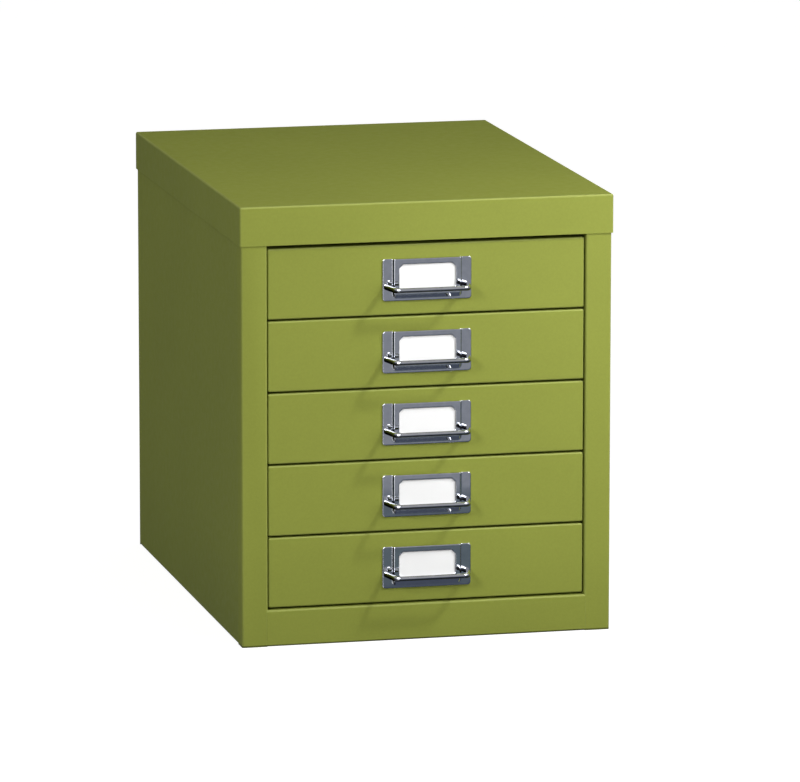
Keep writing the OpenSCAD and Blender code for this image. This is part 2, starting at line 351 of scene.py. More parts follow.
@dataclass(frozen=True)
class BrightPlating:
    """Polished plating with the faint waves of the steel under it, and painted shade that darkens
    its colour and its reflection on some sides.
    """

    name: str = "bright_plating"
    slot: Slot = Slot.CHROME
    colour: Colour = (0.60, 0.615, 0.665)
    # painted shade on the plate's lower left rim
    painted_shade: tuple[PaintedShadeSide, ...] = (PaintedShadeSide((1.0, 0.0, 1.0), -0.55, -0.42, 0.15),)
    rim: float = 1.2 * MM
    cloud_size: float = 5 * MM
    cloud_spread: float = 0.05
    wave_size: float = 9 * MM
    wave_depth: float = 0.006 * MM
    polish_size: float = 0.12 * MM
    polish_stretch: Colour = (22.0, 1.0, 1.0)
    polish_depth: float = 0.0001 * MM
    gloss_size: float = 2 * MM
    roughness: Flat = (0.02, 0.06)

    def build(self) -> Material:
        """Builds the plating's material.

        Returns:
            The material.
        """
        graph = NodeGraph(self.name)
        rim = None
        normal = graph.add("NewGeometry", {})["Normal"]
        if self.rim:
            rim = graph.add("Bevel", {"Radius": self.rim}, samples=RIM_SAMPLES)["Normal"]
            normal = rim
        # painted shade darkens the colour and, through the specular tint, the reflection
        painted_shade = graph.combine("MULTIPLY", *(
            graph.facing(normal, side.away_from, side.left_over, 1.0, side.start, side.end)
            for side in self.painted_shade))
        cloud = graph.mottle(self.cloud_spread, self.cloud_size, detail=3.0)
        wave = graph.relief(graph.noise(self.wave_size, detail=1.0), self.wave_depth, rim)
        polish = graph.noise(self.polish_size, 1.0, self.polish_stretch)
        return graph.finished({
            "Base Color": graph.scaled(self.colour, graph.combine("MULTIPLY", cloud, painted_shade)),
            "Specular Tint": painted_shade,
            "Metallic": 1.0,
            "Roughness": graph.span(graph.noise(self.gloss_size, detail=4.0), *self.roughness),
            "Normal": graph.relief(polish, self.polish_depth, wave)})


# painted shade under the wire and on its lower left side
WIRE_PAINTED_SHADE = (PaintedShadeSide((0.0, 0.0, 1.0), -0.25, 0.15, 0.32),
             PaintedShadeSide((0.86, 0.0, 0.51), -0.6, -0.35, 0.2))


@dataclass(frozen=True)
class ZincPlating:
    """Dull zinc on the spring clips, with a fine spangle."""

    slot: Slot = Slot.ZINC
    colour: Colour = (0.50, 0.51, 0.53)
    spangle_size: float = 0.8 * MM
    spangle_spread: float = 0.14
    grain_size: float = 0.2 * MM
    grain_depth: float = 0.004 * MM
    gloss_size: float = 1.5 * MM
    roughness: Flat = (0.32, 0.46)

    def build(self) -> Material:
        """Builds the zinc's material.

        Returns:
            The material.
        """
        graph = NodeGraph("dull_zinc")
        spangle = graph.mottle(self.spangle_spread, self.spangle_size, detail=1.0)
        return graph.finished({
            "Base Color": graph.scaled(self.colour, spangle),
            "Metallic": 1.0,
            "Roughness": graph.span(graph.noise(self.gloss_size, detail=3.0), *self.roughness),
            "Normal": graph.relief(graph.noise(self.grain_size), self.grain_depth)})


@dataclass(frozen=True)
class CardStock:
    """Plain white card with a faint fibre."""

    slot: Slot = Slot.CARD
    colour: Colour = (0.975, 0.975, 0.97)
    fibre_size: float = 0.25 * MM
    fibre_stretch: Colour = (6.0, 1.0, 1.0)
    fibre_spread: float = 0.008
    fibre_depth: float = 0.004 * MM
    gloss_size: float = 3 * MM
    roughness: Flat = (0.72, 0.84)

    def build(self) -> Material:
        """Builds the card's material.

        Returns:
            The material.
        """
        graph = NodeGraph("white_card_stock")
        fibre = graph.noise(self.fibre_size, 3.0, self.fibre_stretch)
        shade = graph.span(fibre, 1 - self.fibre_spread, 1 + self.fibre_spread)
        return graph.finished({
            "Base Color": graph.scaled(self.colour, shade),
            "Roughness": graph.span(graph.noise(self.gloss_size), *self.roughness),
            "Normal": graph.relief(fibre, self.fibre_depth)})


Finish = PowderCoat | BrightPlating | ZincPlating | CardStock


@dataclass
class PaintShop:
    """Holds the cabinet's finishes, builds each once and puts it on the pieces."""

    coat: PowderCoat = PowderCoat()
    plating: BrightPlating = BrightPlating()
    wire: BrightPlating = BrightPlating("bright_wire", painted_shade=WIRE_PAINTED_SHADE, rim=0.0)
    zinc: ZincPlating = ZincPlating()
    card: CardStock = CardStock()
    made: dict[Finish, Material] = field(default_factory=dict)

    def dress(self, mesh: Mesh, name: str, finish: Finish, body: str, node: str) -> None:
        """Turns a mesh into a finished piece that rides on its body.

        Args:
            mesh: The piece's mesh, in the frame.
            name: Name of the piece.
            finish: The finish of its whole surface.
            body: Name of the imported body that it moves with.
            node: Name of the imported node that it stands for.
        """
        if finish not in self.made:
            self.made[finish] = finish.build()
        mesh.name = name
        mesh.materials.clear()
        mesh.materials.append(self.made[finish])
        piece = bpy.data.objects.new(name, mesh)
        bpy.context.scene.collection.objects.link(piece)
        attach(piece, body)
        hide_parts(node)
        log.info("%s: %d faces, on %s", name, len(mesh.polygons), body)


# ------------------------------------------------------------------ mesh building


def smoothed(source: Object) -> Mesh:
    """Applies a scratch object's modifiers, shades it smooth and keeps its flats flat.

    Args:
        source: The scratch object, which is removed.

    Returns:
        The finished mesh.
    """
    bpy.context.scene.collection.objects.link(source)
    mesh = bpy.data.meshes.new_from_object(
        source.evaluated_get(bpy.context.evaluated_depsgraph_get()))
    source.modifiers.clear()
    source.data = mesh
    mesh.shade_smooth()
    mesh.set_sharp_from_angle(angle=SHARP_ANGLE)
    weighted = source.modifiers.new("even_shading", "WEIGHTED_NORMAL")
    weighted.keep_sharp = True
    result = bpy.data.meshes.new_from_object(
        source.evaluated_get(bpy.context.evaluated_depsgraph_get()))
    bpy.data.objects.remove(source)
    return result


def shares_of(steps: int) -> list[float]:
    """Shares from 0 to 1 in as many even steps."""
    return [step / steps for step in range(steps + 1)]


def quarter_turn() -> list[float]:
    """Angles from 0 to a right angle in the steps of a fold."""
    return [math.pi / 2 * share for share in shares_of(BEND_STEPS)]


@dataclass(frozen=True)
class Section:
    """Middle line of a folded sheet, each point with the number of its corner."""

    points: tuple[Flat, ...]
    corners: tuple[int, ...]

    @classmethod
    def folded(cls, line: Sequence[Flat], radius: float) -> "Section":
        """Rounds the corners of a line of right-angled folds.

        Args:
            line: The corners of the middle line. A point in a straight run is kept.
            radius: Radius of the middle line in a fold.

        Returns:
            The rounded section.
        """
        points, corners = [], []
        for number, here in enumerate(line):
            fold = [Vector(here)]
            if 0 < number < len(line) - 1:
                into = (Vector(here) - Vector(line[number - 1])).normalized()
                away = (Vector(line[number + 1]) - Vector(here)).normalized()
                if into.dot(away) < STILL_STRAIGHT:
                    centre = Vector(here) + radius * (away - into)
                    fold = [centre + radius * (into * math.sin(turn) - away * math.cos(turn))
                            for turn in quarter_turn()]
            points += [tuple(point) for point in fold]
            corners += [number] * len(fold)
        return cls(tuple(points), tuple(corners))

    def part(self, first: int, last: int, flats_only: bool = False) -> "Section":
        """Cuts a stretch out of the section.

        Args:
            first: Corner at which the stretch starts.
            last: Corner at which it ends.
            flats_only: Leaves out the folds at its two ends.

        Returns:
            The stretch.
        """
        chosen = [i for i, corner in enumerate(self.corners) if first <= corner <= last]
        start, end = chosen[0], chosen[-1]
        if flats_only:
            start = max(i for i in chosen if self.corners[i] == first)
            end = min(i for i in chosen if self.corners[i] == last)
        return Section(self.points[start:end + 1], self.corners[start:end + 1])


class FoldedSheet:
    """Middle surface of a folded sheet, laid patch by patch and then given its gauge."""

    def __init__(self, gauge: float, outer_bend: float, edge: float = CUT_EDGE) -> None:
        """Starts an empty sheet.

        Args:
            gauge: Thickness of the sheet.
            outer_bend: Radius on the outside of a fold.
            edge: Rounding of the cut edges.
        """
        self.gauge = gauge
        self.bend = outer_bend - gauge / 2
        self.edge = edge
        self.patches: list[list[Vector]] = []

    def lay(self, rows: Sequence[Sequence[Vector]]) -> None:
        """Adds a patch.

        Args:
            rows: Its rows of points, all of the same length.
        """
        for low, high in zip(rows, rows[1:]):
            for i in range(len(low) - 1):
                self.patches.append([low[i], low[i + 1], high[i + 1], high[i]])

    def draw(self, section: Section, along: Along, reaches: Sequence[float]) -> None:
        """Adds a patch by drawing a section out, with an edge at each of the reaches."""
        self.lay([[along.place(flat, reach) for flat in section.points] for reach in reaches])

    def turn(self, edge: Sequence[Vector], away: Vector, towards: Vector, length: float) -> None:
        """Adds a fold and the flange beyond it.

        Args:
            edge: Points of the edge where the fold starts.
            away: Direction in which the sheet reaches that edge.
            towards: Direction in which the flange leaves the fold.
            length: Length of the flange's flat.
        """
        rows = [[point + self.bend * (away * math.sin(turn) + towards * (1 - math.cos(turn)))
                 for point in edge] for turn in quarter_turn()]
        rows.append([point + towards * length for point in rows[-1]])
        self.lay(rows)

    def mesh(self) -> Mesh:
        """Joins the patches, marks the folds, adds the gauge and rounds the cut edges.

        Returns:
            The finished mesh.
        """
        middle = bmesh.new()
        for corners in self.patches:
            middle.faces.new([middle.verts.new(point) for point in corners])
        bmesh.ops.remove_doubles(middle, verts=middle.verts, dist=SAME_POINT)
        bmesh.ops.dissolve_degenerate(middle, edges=middle.edges, dist=SAME_POINT)
        bmesh.ops.recalc_face_normals(middle, faces=middle.faces)
        fold = middle.verts.layers.float.new("fold")
        fold_angle = FOLD_SHARE * math.pi / 2 / BEND_STEPS
        for vert in middle.verts:
            turns = [edge.calc_face_angle(0.0) for edge in vert.link_edges]
            vert[fold] = float(max(turns) > fold_angle)
        flat = bpy.data.meshes.new("sheet")
        middle.to_mesh(flat)
        middle.free()
        scratch = bpy.data.objects.new("sheet", flat)
        gauge = scratch.modifiers.new("gauge", "SOLIDIFY")
        gauge.thickness = self.gauge
        gauge.offset = 0.0
        gauge.use_even_offset = True
        round_off = scratch.modifiers.new("round_off", "BEVEL")
        round_off.width = self.edge
        round_off.segments = CUT_SEGMENTS
        round_off.limit_method = "ANGLE"
        round_off.angle_limit = CUT_ANGLE
        return smoothed(scratch)


def mirrored(mesh: Mesh) -> Mesh:
    """Turns a mesh into its mirror image across the cabinet's middle plane.

    Args:
        mesh: The mesh, which is changed.

    Returns:
        The same mesh.
    """
    work = bmesh.new()
    work.from_mesh(mesh)
    for vert in work.verts:
        vert.co.x = -vert.co.x
    bmesh.ops.reverse_faces(work, faces=work.faces)
    work.to_mesh(mesh)
    work.free()
    return mesh


def rounded_pan(sheet: FoldedSheet, low: Vector, high: Vector, opening: Along) -> None:
    """Lays a shallow box with rounded edges and ball corners, open on one side.

    Args:
        sheet: The sheet that it is made of.
        low: Lowest corner of the box that it fills.
        high: Highest corner of that box.
        opening: Z for a pan that is open below, Y for one that is open behind.
    """
    half, bend = sheet.gauge / 2, sheet.bend
    centre = (low + high) / 2
    if opening is Along.Z:
        width, depth, height = high - low
        centre.z, over, up = low.z, BACKWARDS, UP
    else:
        width, height, depth = high - low
        centre.y, over, up = high.y, UP, -BACKWARDS
    reach_x, reach_y = width / 2 - half - bend, depth / 2 - half - bend
    rim_height = height - half - bend

    def loop(radius: float, level: float) -> list[Vector]:
        """Goes once round the pan.

        Args:
            radius: Radius of the four corners.
            level: Height above the pan's open side.

        Returns:
            The points, the first of them again at the end.
        """
        points = []
        for sign_x, sign_y, start in ((1, 1, 0), (-1, 1, 1), (-1, -1, 2), (1, -1, 3)):
            for turn in quarter_turn():
                angle = start * math.pi / 2 + turn
                x = sign_x * reach_x + radius * math.cos(angle)
                y = sign_y * reach_y + radius * math.sin(angle)
                points.append(centre + RIGHTWARDS * x + over * y + up * level)
        return points + points[:1]

    rows = [loop(bend, 0.0)]
    rows += [loop(bend * math.cos(turn), rim_height + bend * math.sin(turn))
             for turn in quarter_turn()]
    sheet.lay(rows)
    sheet.patches.append([
        centre + RIGHTWARDS * x * reach_x + over * y * reach_y + up * (height - half)
        for x, y in ((-1, -1), (1, -1), (1, 1), (-1, 1))])


# ------------------------------------------------------------------ carcass


@dataclass(frozen=True)
class SheetStock:
    """One gauge of sheet steel and how it is folded."""

    gauge: float
    outer_bend: float

    def sheet(self) -> FoldedSheet:
        """A new empty sheet of this stock."""
        return FoldedSheet(self.gauge, self.outer_bend)


CARCASS_STOCK = SheetStock(0.9 * MM, 1.5 * MM)
FRONT_STOCK = SheetStock(0.9 * MM, 1.3 * MM)
TRAY_STOCK = SheetStock(0.7 * MM, 1.3 * MM)
RELIEF = 0.3 * MM


@dataclass(frozen=True)
class Carcass:
    """Lid, sides, back, base, rails and runners: everything that stands still."""

    body: str = "carcass"
    return_depth: float = 14 * MM
    flange: float = 13 * MM
    tab: float = 11 * MM
    rail_seat: float = 0.8 * MM

    def lid(self) -> Mesh:
        """Cap lid with its four bands folded down and its corners closed.

        Returns:
            The lid's mesh.
        """
        sheet = CARCASS_STOCK.sheet()
        rounded_pan(sheet, *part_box("lid"), Along.Z)
        return sheet.mesh()

    def side(self, hand: Hand) -> Mesh:
        """Wall with a stile and return in front and flanges behind, above and below.

        Args:
            hand: Which side of the cabinet.

        Returns:
            The side's mesh.
        """
        low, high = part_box("right_side_panel")
        sheet = CARCASS_STOCK.sheet()
        half = sheet.gauge / 2
        wall, stile, rear = high.x - half, low.y + half, high.y - half
        behind_return = low.y + self.return_depth
        before_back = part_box("back_panel")[0].y
        line = [(low.x + half, behind_return), (low.x + half, stile), (wall, stile),
                (wall, behind_return), (wall, behind_return + RELIEF),
                (wall, before_back - RELIEF), (wall, before_back),
                (wall, rear), (high.x - self.flange, rear)]
        section = Section.folded(line, sheet.bend)
        fold_low, fold_high = low.z + half + sheet.bend, high.z - half - sheet.bend
        sheet.draw(section, Along.Z, [fold_low, fold_high])
        for stretch in (section.part(0, 3), section.part(6, 8)):
            sheet.draw(stretch, Along.Z, [low.z, fold_low])
            sheet.draw(stretch, Along.Z, [fold_high, high.z])
        flat = self.flange - half - sheet.bend
        for level, away in ((fold_low, -1), (fold_high, 1)):
            edge = [Along.Z.place(point, level) for point in section.part(4, 5).points]
            sheet.turn(edge, UP * away, -RIGHTWARDS, flat)
        mesh = sheet.mesh()
        return mesh if hand is Hand.RIGHT else mirrored(mesh)

    def back(self) -> Mesh:
        """Plain back panel.

        Returns:
            The panel's mesh.
        """
        low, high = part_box("back_panel")
        sheet = CARCASS_STOCK.sheet()
        middle = (low.y + high.y) / 2
        sheet.lay([[Vector((x, middle, z)) for x in (low.x, high.x)] for z in (low.z, high.z)])
        return sheet.mesh()

    def base(self) -> Mesh:
        """Floor of the cabinet with an upturned edge at each side.

        Returns:
            The floor's mesh.
        """
        low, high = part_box("base_panel")
        sheet = CARCASS_STOCK.sheet()
        half = sheet.gauge / 2
        left, right, floor = low.x + half, high.x - half, low.z + half
        section = Section.folded([(left, high.z), (left, floor), (right, floor),
                                  (right, high.z)], sheet.bend)
        sheet.draw(section, Along.Y, [low.y, high.y])
        return sheet.mesh()

    def rail(self, node: str) -> Mesh:
        """Rail between the stiles with a fold along its top and its bottom.

        Args:
            node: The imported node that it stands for.

        Returns:
            The rail's mesh.
        """
        low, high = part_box(node)
        sheet = CARCASS_STOCK.sheet()
        half = sheet.gauge / 2
        line = [(high.y, low.z + half), (low.y + half, low.z + half),
                (low.y + half, high.z - half), (low.y + self.return_depth, high.z - half)]
        sheet.draw(Section.folded(line, sheet.bend), Along.X,
                   [low.x - self.rail_seat, high.x + self.rail_seat])
        return sheet.mesh()

    def runner(self, hand: Hand, number: int) -> Mesh:
        """Channel with a ledge and a guard lip, and a tab turned out at each end.

        Args:
            hand: Which side of the cabinet.
            number: Number of the drawer that it carries.

        Returns:
            The runner's mesh.
        """
        low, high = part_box(f"right_runner_{number}")
        sheet = CARCASS_STOCK.sheet()
        half = sheet.gauge / 2
        web_in = high.x - self.tab
        web, ledge, guard = web_in + half, low.z + half, high.z - half
        section = Section.folded([(low.x, ledge), (web, ledge), (web, guard), (low.x, guard)],
                                 sheet.bend)
        upright = section.part(1, 2, flats_only=True)
        channel_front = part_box("right_side_panel")[0].y + self.return_depth + RELIEF
        turn_room = half + sheet.bend
        channel_back = high.y - turn_room - RELIEF
        sheet.draw(upright, Along.Y, [low.y + turn_room, channel_front])
        sheet.draw(section, Along.Y, [channel_front, channel_back])
        sheet.draw(upright, Along.Y, [channel_back, high.y - turn_room])
        for reach, away in ((low.y + turn_room, -1), (high.y - turn_room, 1)):
            edge = [Along.Y.place(point, reach) for point in upright.points]
            sheet.turn(edge, BACKWARDS * away, RIGHTWARDS, self.tab - turn_room)
        mesh = sheet.mesh()
        return mesh if hand is Hand.RIGHT else mirrored(mesh)

    def build(self, shop: PaintShop, drawers: int) -> None:
        """Builds and paints every piece of the carcass.

        Args:
            shop: Where the pieces are finished.
            drawers: How many drawers it carries.
        """
        pieces = [(self.lid(), "cap_lid", "lid"), (self.back(), "rear_panel", "back_panel"),
                  (self.base(), "floor_panel", "base_panel")]
        pieces += [(self.rail(node), f"{node}_folded", node)
                   for node in ("bottom_rail", "top_rail")]
        for hand in Hand:
            side = hand.word
            pieces.append((self.side(hand), f"{side}_side", f"{side}_side_panel"))
            pieces += [(self.runner(hand, number), f"{side}_channel_{number}",
                        f"{side}_runner_{number}") for number in range(1, drawers + 1)]
        for mesh, name, node in pieces:
            shop.dress(mesh, name, shop.coat, self.body, node)


# ------------------------------------------------------------------ drawers


@dataclass(frozen=True)
class Tray:
    """Floor and sides of a drawer in one sheet, with rims that slide in the runners."""

    number: int
    half_width: float = 110 * MM
    rim_half_width: float = 118 * MM
    lip: float = 4 * MM
    flange: float = 6.5 * MM
    ear: float = 8 * MM
    ear_from_rim: float = 275 * MM

    def mesh(self) -> Mesh:
        """Lays the tray: floor, sides, rims, lips, stop ears and front flanges.

        Returns:
            The tray's mesh.
        """
        low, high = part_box(f"drawer_tray_{self.number}")
        sheet = TRAY_STOCK.sheet()
        half = sheet.gauge / 2
        wall, lip = self.half_width - half, self.rim_half_width - half
        floor, rim = low.z + half, high.z - half
        section = Section.folded([
            (-lip, high.z - self.lip), (-lip, rim), (-wall, rim), (-wall, floor),
            (wall, floor), (wall, rim), (lip, rim), (lip, high.z - self.lip)], sheet.bend)
        stop_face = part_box("right_side_panel")[0].y + Carcass().return_depth
        rim_front = max(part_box(f"drawer_front_{self.number}")[1].y, stop_face) + RELIEF
        ear_front = stop_face + RELIEF + self.ear_from_rim
        front = low.y + half + sheet.bend
        floor_front = low.y + FRONT_STOCK.outer_bend - FRONT_STOCK.gauge

        sheet.draw(section.part(3, 4), Along.Y, [floor_front, front, rim_front])
        for side in ((2, 3), (4, 5)):
            upright = section.part(*side, flats_only=True)
            sheet.draw(upright, Along.Y, [front, rim_front])
            outwards = RIGHTWARDS * math.copysign(1, upright.points[0][0])
            edge = [Along.Y.place(point, front) for point in upright.points]
            sheet.turn(edge, -BACKWARDS, outwards, self.flange - half - sheet.bend)

        ear_back = ear_front + self.ear
        within_lips = section.part(1, 6, flats_only=True)
        sheet.draw(section, Along.Y, [rim_front, ear_front - RELIEF])
        sheet.draw(within_lips, Along.Y,
                   [ear_front - RELIEF, ear_front, ear_back, ear_back + RELIEF])
        sheet.draw(section, Along.Y, [ear_back + RELIEF, high.y])
        for flat, tip in ((within_lips.points[0], low.x), (within_lips.points[-1], high.x)):
            sheet.lay([[Along.Y.place((x, flat[1]), reach) for x in (flat[0], tip)]
                       for reach in (ear_front, ear_back)])
        return sheet.mesh()


@dataclass(frozen=True)
class HolderPlate:
    """Pressed plate with a raised centre that holds the card, open at its top."""

    gauge: float = 0.8 * MM
    rise: float = 2.0 * MM
    corner: float = 2.2 * MM
    foot_width: float = 51.2 * MM
    foot_corner: float = 2.8 * MM
    crest_corner: float = 1.4 * MM
    side_slope: float = 0.9 * MM
    bottom_slope: float = 3.2 * MM
    bottom_margin: float = 1.9 * MM
    press_radius: float = 0.8 * MM
    window_width: float = 42.4 * MM
    window_height: float = 18.8 * MM
    window_drop: float = 3.9 * MM
    window_top_chamfer: float = 3.0 * MM
    window_bottom_chamfer: float = 1.8 * MM
    edge: float = 0.36 * MM
    corner_steps: int = 8
    side_steps: int = 4
    bottom_steps: int = 6

    def corner_points(self, shape: Corner, start: Flat, end: Flat) -> list[Flat]:
        """Points round one corner of a half outline.

        Args:
            shape: How the corner is shaped.
            start: Where it leaves the edge before it.
            end: Where it meets the edge after it.

        Returns:
            The points, from start to end.
        """
        points = []
        for share in shares_of(self.corner_steps):
            shares = (share, share)
            if shape is Corner.ROUND:
                shares = (math.sin(share * math.pi / 2), 1 - math.cos(share * math.pi / 2))
                if start[0] < end[0]:
                    shares = shares[::-1]
            points.append(tuple(first + (last - first) * part
                                for first, last, part in zip(start, end, shares)))
        return points

    def outline(self, half: float, top: float, bottom: float, top_corner: float,
                bottom_corner: float, top_shape: Corner, bottom_shape: Corner) -> list[Flat]:
        """A line down the left side, along the bottom and up the right side.

        Args:
            half: Half of its width.
            top: Height of its two ends.
            bottom: Height of its lower edge.
            top_corner: Size of its top corners.
            bottom_corner: Size of its bottom corners.
            top_shape: How the top corners are shaped.
            bottom_shape: How the bottom corners are shaped.

        Returns:
            The line's points, as many for any outline.
        """
        start = (-half, top) if top_shape is Corner.STRAIGHT else (-half + top_corner, top)
        side_top, side_bottom = (-half, top - top_corner), (-half, bottom + bottom_corner)
        left = self.corner_points(top_shape, start, side_top)
        left += [(-half, side_top[1] + (side_bottom[1] - side_top[1]) * step / self.side_steps)
                 for step in range(1, self.side_steps)]
        left += self.corner_points(bottom_shape, side_bottom, (-half + bottom_corner, bottom))
        left += [((-half + bottom_corner) * (1 - step / self.bottom_steps), bottom)
                 for step in range(1, self.bottom_steps + 1)]
        return left + [(-x, z) for x, z in reversed(left[:-1])]

    def press_profile(self, foot: Flat, crest: Flat) -> list[tuple[float, float, float]]:
        """Points from the flat below a pressed slope to the flat above it.

        Args:
            foot: Where the slope would meet the lower flat in a sharp corner.
            crest: Where it would meet the upper flat.

        Returns:
            Points as x, z and how far each stands out.
        """
        inwards = Vector(crest) - Vector(foot)
        run = inwards.length
        inwards.normalize()
        angle = math.atan2(self.rise, run)
        lead = self.press_radius * math.tan(angle / 2)
        profile = []
        for share in shares_of(BEND_STEPS):
            turn = angle * share
            profile.append((-lead + self.press_radius * math.sin(turn),
                            self.press_radius * (1 - math.cos(turn))))
        profile += [(run - along, self.rise - out) for along, out in reversed(profile)]
        return [(foot[0] + inwards.x * along, foot[1] + inwards.y * along, out)
                for along, out in profile]

    def mesh(self, node: str) -> Mesh:
        """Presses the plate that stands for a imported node.

        Args:
            node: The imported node.

        Returns:
            The plate's mesh.
        """
        low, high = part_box(node)
        centre = (low + high) / 2
        half_w, half_h = (high.x - low.x) / 2, (high.z - low.z) / 2
        foot_half = self.foot_width / 2
        foot_bottom = -half_h + self.bottom_margin
        rim = self.outline(half_w, half_h, -half_h, self.corner, self.corner,
                           Corner.ROUND, Corner.ROUND)
        foot = self.outline(foot_half, half_h, foot_bottom, self.corner, self.foot_corner,
                            Corner.STRAIGHT, Corner.ROUND)
        crest = self.outline(foot_half - self.side_slope, half_h,
                             foot_bottom + self.bottom_slope, self.corner,
                             self.crest_corner, Corner.STRAIGHT, Corner.ROUND)
        window_top = half_h - self.window_drop
        window = self.outline(self.window_width / 2, window_top,
                              window_top - self.window_height, self.window_top_chamfer,
                              self.window_bottom_chamfer, Corner.CHAMFER, Corner.CHAMFER)

        def at(x: float, z: float, out: float) -> Vector:
            """Puts a point of the plate's middle surface into the frame."""
            return Vector((centre.x + x, high.y - self.gauge / 2 - out, centre.z + z))

        slopes = [self.press_profile(*pair) for pair in zip(foot, crest)]
        columns = [[at(*rim[i], 0.0), *(at(*point) for point in slopes[i]),
                    at(*window[i], self.rise)] for i in range(len(rim))]
        sheet = FoldedSheet(self.gauge, self.press_radius + self.gauge / 2, self.edge)
        sheet.lay(columns)
        upper = (columns[0][-2], columns[-1][-2])
        lower = (columns[0][-1], columns[-1][-1])
        sheet.lay([[start.lerp(end, share) for share in shares_of(self.bottom_steps)]
                   for start, end in (upper, lower)])
        return sheet.mesh()


@dataclass(frozen=True)
class Bow:
    """Wire bow: two flattened arms that lean in to a bar, with a peg at each foot."""

    wire: float = 3.5 * MM
    peg: float = 2.6 * MM
    foot_width: float = 61.2 * MM
    bar_width: float = 54 * MM
    bend: float = 4.5 * MM
    peg_tip: float = 0.4 * MM
    arm_flare: float = 0.25
    around: int = 28
    bend_steps: int = 14

    def half_path(self, plate: float, bar: float) -> list[Flat]:
        """Middle line of the right half, from its foot to the middle of the bar.

        Args:
            plate: Y of the plate's face.
            bar: Y of the bar's middle line.

        Returns:
            Points as X and Y.
        """
        foot = Vector((self.foot_width / 2, plate))
        elbow = Vector((self.bar_width / 2, bar))
        arm = (elbow - foot).normalized()
        inward = Vector((arm.y, -arm.x))
        bend_angle = arm.angle(Vector((-1, 0)))
        centre = elbow + self.bend * (inward - arm * math.tan(bend_angle / 2))
        path = [tuple(foot)]
        for share in shares_of(self.bend_steps):
            turn = bend_angle * share
            path.append(tuple(centre + self.bend * (arm * math.sin(turn)
                                                    - inward * math.cos(turn))))
        return path + [(0.0, bar)]

    def mesh(self, node: str, plate: float) -> Mesh:
        """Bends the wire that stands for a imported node.

        Args:
            node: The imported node.
            plate: Y of the face of the plate that the bow stands on.

        Returns:
            The bow's mesh.
        """
        low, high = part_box(node)
        radius, level = self.wire / 2, (low.z + high.z) / 2
        right = self.half_path(plate, low.y + radius)
        path = [Vector((x, y, level)) for x, y in right]
        path += [Vector((-x, y, level)) for x, y in reversed(right[:-1])]
        angles = [2 * math.pi * step / self.around for step in range(self.around)]
        last = len(path) - 1
        rings = []
        for i, point in enumerate(path):
            ahead = (path[min(i + 1, last)] - path[max(i - 1, 0)]).normalized()
            side = UP.cross(ahead).normalized()
            tall = 1 + self.arm_flare * abs(ahead.y)
            ring = [point + radius * (side * math.cos(a) + UP * tall * math.sin(a))
                    for a in angles]
            if i in (0, last):
                ring = [p + ahead * ((plate - p.y) / ahead.y) for p in ring]
            rings.append(ring)
        start, end = (self.peg_rings(path[i], rings[i], high.y) for i in (0, last))
        return self.skin(start + rings + end[::-1])

    def peg_rings(self, foot: Vector, seat: list[Vector], tip: float) -> list[list[Vector]]:
        """Rings of a peg, from its tip to its foot.

        Args:
            foot: Middle of the wire's foot.
            seat: The wire's last ring, round its foot.
            tip: Y of the peg's tip.

        Returns:
            The rings, with as many points as the seat.
        """
        outwards = [Vector((p.x - foot.x, 0, p.z - foot.z)).normalized() for p in seat]
        return [[Vector((foot.x, y, foot.z)) + radius * outward for outward in outwards]
                for y, radius in ((tip, self.peg / 2 - self.peg_tip),
                                  (tip - self.peg_tip, self.peg / 2), (foot.y, self.peg / 2))]

    def skin(self, rings: list[list[Vector]]) -> Mesh:
        """Joins rings into a closed skin.

        Args:
            rings: Rings of as many points each, from one peg's tip to the other's.

        Returns:
            The mesh.
        """
        work = bmesh.new()
        verts = [[work.verts.new(point) for point in ring] for ring in rings]
        for ring, following in zip(verts, verts[1:]):
            for i in range(self.around):
                j = (i + 1) % self.around
                work.faces.new([ring[i], ring[j], following[j], following[i]])
        for ring in (verts[0], verts[-1]):
            tip = work.verts.new(sum((vert.co for vert in ring), Vector()) / self.around)
            for i in range(self.around):
                work.faces.new([ring[i], ring[(i + 1) % self.around], tip])
        bmesh.ops.recalc_face_normals(work, faces=work.faces)
        mesh = bpy.data.meshes.new("wire")
        work.to_mesh(mesh)
        work.free()
        return smoothed(bpy.data.objects.new("wire", mesh))


@dataclass(frozen=True)
class Clips:
    """Two push-on spring washers with teeth that bite on the pegs."""

    gauge: float = 0.3 * MM
    hole: float = 2.7 * MM
    rim: float = 5.6 * MM
    edge: float = 0.04 * MM
    teeth: int = 6
    steps_per_tooth: int = 8

    def mesh(self, node: str) -> Mesh:
        """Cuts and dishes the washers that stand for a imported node.

        Args:
            node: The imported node.

        Returns:
            The mesh of both washers.
        """
        low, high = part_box(node)
        radius, level = (high.z - low.z) / 2, (low.z + high.z) / 2
        seat, crown = low.y + self.gauge / 2, high.y - self.gauge / 2
        sheet = FoldedSheet(self.gauge, self.gauge, self.edge)
        steps = self.teeth * self.steps_per_tooth
        for centre_x in (low.x + radius, high.x - radius):

            def at(reach: float, y: float, step: int) -> Vector:
                """A point of the washer's middle surface.

                Args:
                    reach: Distance from the washer's middle.
                    y: Its Y in the frame.
                    step: Number of the step round the washer.

                Returns:
                    The point.
                """
                angle = 2 * math.pi * step / steps
                return Vector((centre_x + reach * math.cos(angle), y,
                               level + reach * math.sin(angle)))

            for step in range(steps):
                pair = (step, step + 1)
                rows = [(radius, seat), (self.rim / 2, seat)]
                if step % self.steps_per_tooth:
                    rows.append((self.hole / 2, crown))
                sheet.lay([[at(reach, y, s) for s in pair] for reach, y in rows])
        return sheet.mesh()


